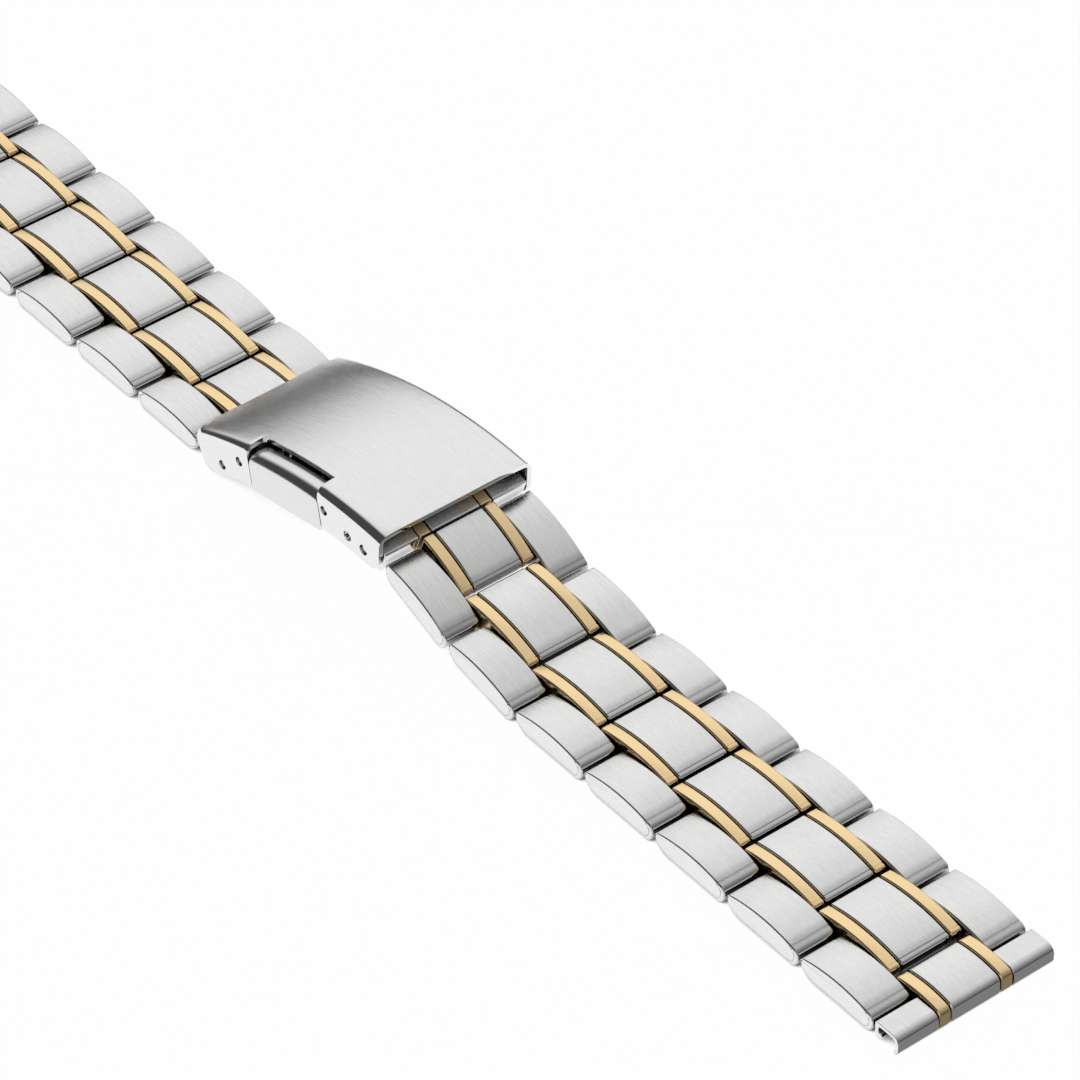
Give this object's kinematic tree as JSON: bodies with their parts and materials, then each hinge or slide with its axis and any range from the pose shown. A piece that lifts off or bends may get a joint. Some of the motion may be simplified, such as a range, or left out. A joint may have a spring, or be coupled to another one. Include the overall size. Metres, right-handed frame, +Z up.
{
  "type": "watch bracelet",
  "caption": "Five-column metal watch bracelet in brushed steel with gold strips, jointed links and a folding clasp with push buttons, lying open and flat.",
  "frame": {"origin": "middle of the bracelet's bounding box, at table height", "axes": "+X along the bracelet from the clasp to the end beyond the clasp's raised end, +Y across it, +Z up from the table through the links' outer faces"},
  "size_m": [0.1746, 0.018, 0.0102],
  "materials": {
    "brushed_steel": "fine lengthwise brushing with bright edges",
    "polished_steel": "polished",
    "inner_steel": "plain stamped, satin",
    "gold_plate": "polished pale gold"
  },
  "bodies": {
    "clasp": {"clasp_cover": "brushed_steel", "cover_pins": "polished_steel", "spring_bar": "polished_steel", "button_carrier": "inner_steel", "button_springs_near": "polished_steel", "button_springs_far": "polished_steel"},
    "button_near": {"button_near": "polished_steel"},
    "button_far": {"button_far": "polished_steel"},
    "inner_blade": {"inner_blade": "inner_steel", "blade_pin": "polished_steel"},
    "outer_blade": {"outer_blade": "inner_steel", "far_pin": "polished_steel"},
    "near_1": {"outer_links_n1": "brushed_steel", "gold_strips_n1": "gold_plate", "centre_link_n1": "brushed_steel", "clasp_end_piece": "brushed_steel", "clasp_end_gold": "gold_plate"},
    "near_2": {"outer_links_n2": "brushed_steel", "gold_strips_n2": "gold_plate", "centre_link_n2": "brushed_steel"},
    "near_3": {"outer_links_n3": "brushed_steel", "gold_strips_n3": "gold_plate", "centre_link_n3": "brushed_steel"},
    "near_4": {"outer_links_n4": "brushed_steel", "gold_strips_n4": "gold_plate", "centre_link_n4": "brushed_steel"},
    "near_5": {"outer_links_n5": "brushed_steel", "gold_strips_n5": "gold_plate", "centre_link_n5": "brushed_steel"},
    "near_6": {"outer_links_n6": "brushed_steel", "gold_strips_n6": "gold_plate", "centre_link_n6": "brushed_steel"},
    "near_7": {"outer_links_n7": "brushed_steel", "gold_strips_n7": "gold_plate", "centre_link_n7": "brushed_steel"},
    "near_end": {"end_piece_near": "brushed_steel", "end_gold_near": "gold_plate"},
    "far_1": {"outer_links_f1": "brushed_steel", "gold_strips_f1": "gold_plate", "centre_link_f1": "brushed_steel"},
    "far_2": {"outer_links_f2": "brushed_steel", "gold_strips_f2": "gold_plate", "centre_link_f2": "brushed_steel"},
    "far_3": {"outer_links_f3": "brushed_steel", "gold_strips_f3": "gold_plate", "centre_link_f3": "brushed_steel"},
    "far_4": {"outer_links_f4": "brushed_steel", "gold_strips_f4": "gold_plate", "centre_link_f4": "brushed_steel"},
    "far_5": {"outer_links_f5": "brushed_steel", "gold_strips_f5": "gold_plate", "centre_link_f5": "brushed_steel"},
    "far_6": {"outer_links_f6": "brushed_steel", "gold_strips_f6": "gold_plate", "centre_link_f6": "brushed_steel"},
    "far_7": {"outer_links_f7": "brushed_steel", "gold_strips_f7": "gold_plate", "centre_link_f7": "brushed_steel"},
    "far_end": {"end_piece_far": "brushed_steel", "end_gold_far": "gold_plate"}
  },
  "joints": [
    {"name": "press_near_button", "type": "slide", "parent": "clasp", "child": "button_near", "axis": [0, 1, 0], "range_m": [0, 0.0008], "stiffness_N_per_m": 800, "springref_m": -0.001, "deforming": ["button_springs_near"]},
    {"name": "press_far_button", "type": "slide", "parent": "clasp", "child": "button_far", "axis": [0, -1, 0], "range_m": [0, 0.0008], "stiffness_N_per_m": 800, "springref_m": -0.001, "deforming": ["button_springs_far"]},
    {"name": "bend_near_1", "type": "hinge", "parent": "clasp", "child": "near_1", "pos_m": [0.0124, 0, 0.00673], "axis": [0, 1, 0], "range_deg": [-20, 30]},
    {"name": "bend_near_2", "type": "hinge", "parent": "near_1", "child": "near_2", "pos_m": [0.02255, 0, 0.00304], "axis": [0, 1, 0], "range_deg": [-4.5, 38]},
    {"name": "bend_near_3", "type": "hinge", "parent": "near_2", "child": "near_3", "pos_m": [0.0324, 0, 0.0013], "axis": [0, 1, 0], "range_deg": [-5, 38]},
    {"name": "bend_near_4", "type": "hinge", "parent": "near_3", "child": "near_4", "pos_m": [0.0424, 0, 0.0013], "axis": [0, 1, 0], "range_deg": [-15, 28]},
    {"name": "bend_near_5", "type": "hinge", "parent": "near_4", "child": "near_5", "pos_m": [0.0524, 0, 0.0013], "axis": [0, 1, 0], "range_deg": [-15, 28]},
    {"name": "bend_near_6", "type": "hinge", "parent": "near_5", "child": "near_6", "pos_m": [0.0624, 0, 0.0013], "axis": [0, 1, 0], "range_deg": [-15, 28]},
    {"name": "bend_near_7", "type": "hinge", "parent": "near_6", "child": "near_7", "pos_m": [0.0724, 0, 0.0013], "axis": [0, 1, 0], "range_deg": [-15, 28]},
    {"name": "bend_near_end", "type": "hinge", "parent": "near_7", "child": "near_end", "pos_m": [0.0824, 0, 0.0013], "axis": [0, 1, 0], "range_deg": [-15, 28]},
    {"name": "open_inner_blade", "type": "hinge", "parent": "clasp", "child": "inner_blade", "pos_m": [-0.00944, 0, 0.00245], "axis": [0, 1, 0], "range_deg": [0, 170]},
    {"name": "unfold_outer_blade", "type": "hinge", "parent": "inner_blade", "child": "outer_blade", "pos_m": [0.00911, 0, 0.00619], "axis": [0, 1, 0], "range_deg": [-170, 0]},
    {"name": "bend_far_1", "type": "hinge", "parent": "outer_blade", "child": "far_1", "pos_m": [-0.0124, 0, 0.0013], "axis": [0, 1, 0], "range_deg": [-28, 3]},
    {"name": "bend_far_2", "type": "hinge", "parent": "far_1", "child": "far_2", "pos_m": [-0.0224, 0, 0.0013], "axis": [0, 1, 0], "range_deg": [-28, 15]},
    {"name": "bend_far_3", "type": "hinge", "parent": "far_2", "child": "far_3", "pos_m": [-0.0324, 0, 0.0013], "axis": [0, 1, 0], "range_deg": [-28, 15]},
    {"name": "bend_far_4", "type": "hinge", "parent": "far_3", "child": "far_4", "pos_m": [-0.0424, 0, 0.0013], "axis": [0, 1, 0], "range_deg": [-28, 15]},
    {"name": "bend_far_5", "type": "hinge", "parent": "far_4", "child": "far_5", "pos_m": [-0.0524, 0, 0.0013], "axis": [0, 1, 0], "range_deg": [-28, 15]},
    {"name": "bend_far_6", "type": "hinge", "parent": "far_5", "child": "far_6", "pos_m": [-0.0624, 0, 0.0013], "axis": [0, 1, 0], "range_deg": [-28, 15]},
    {"name": "bend_far_7", "type": "hinge", "parent": "far_6", "child": "far_7", "pos_m": [-0.0724, 0, 0.0013], "axis": [0, 1, 0], "range_deg": [-28, 15]},
    {"name": "bend_far_end", "type": "hinge", "parent": "far_7", "child": "far_end", "pos_m": [-0.0824, 0, 0.0013], "axis": [0, 1, 0], "range_deg": [-28, 15]}
  ],
  "couplings": [
    {"joint": "unfold_outer_blade", "follows": "open_inner_blade", "ratio": -1}
  ]
}
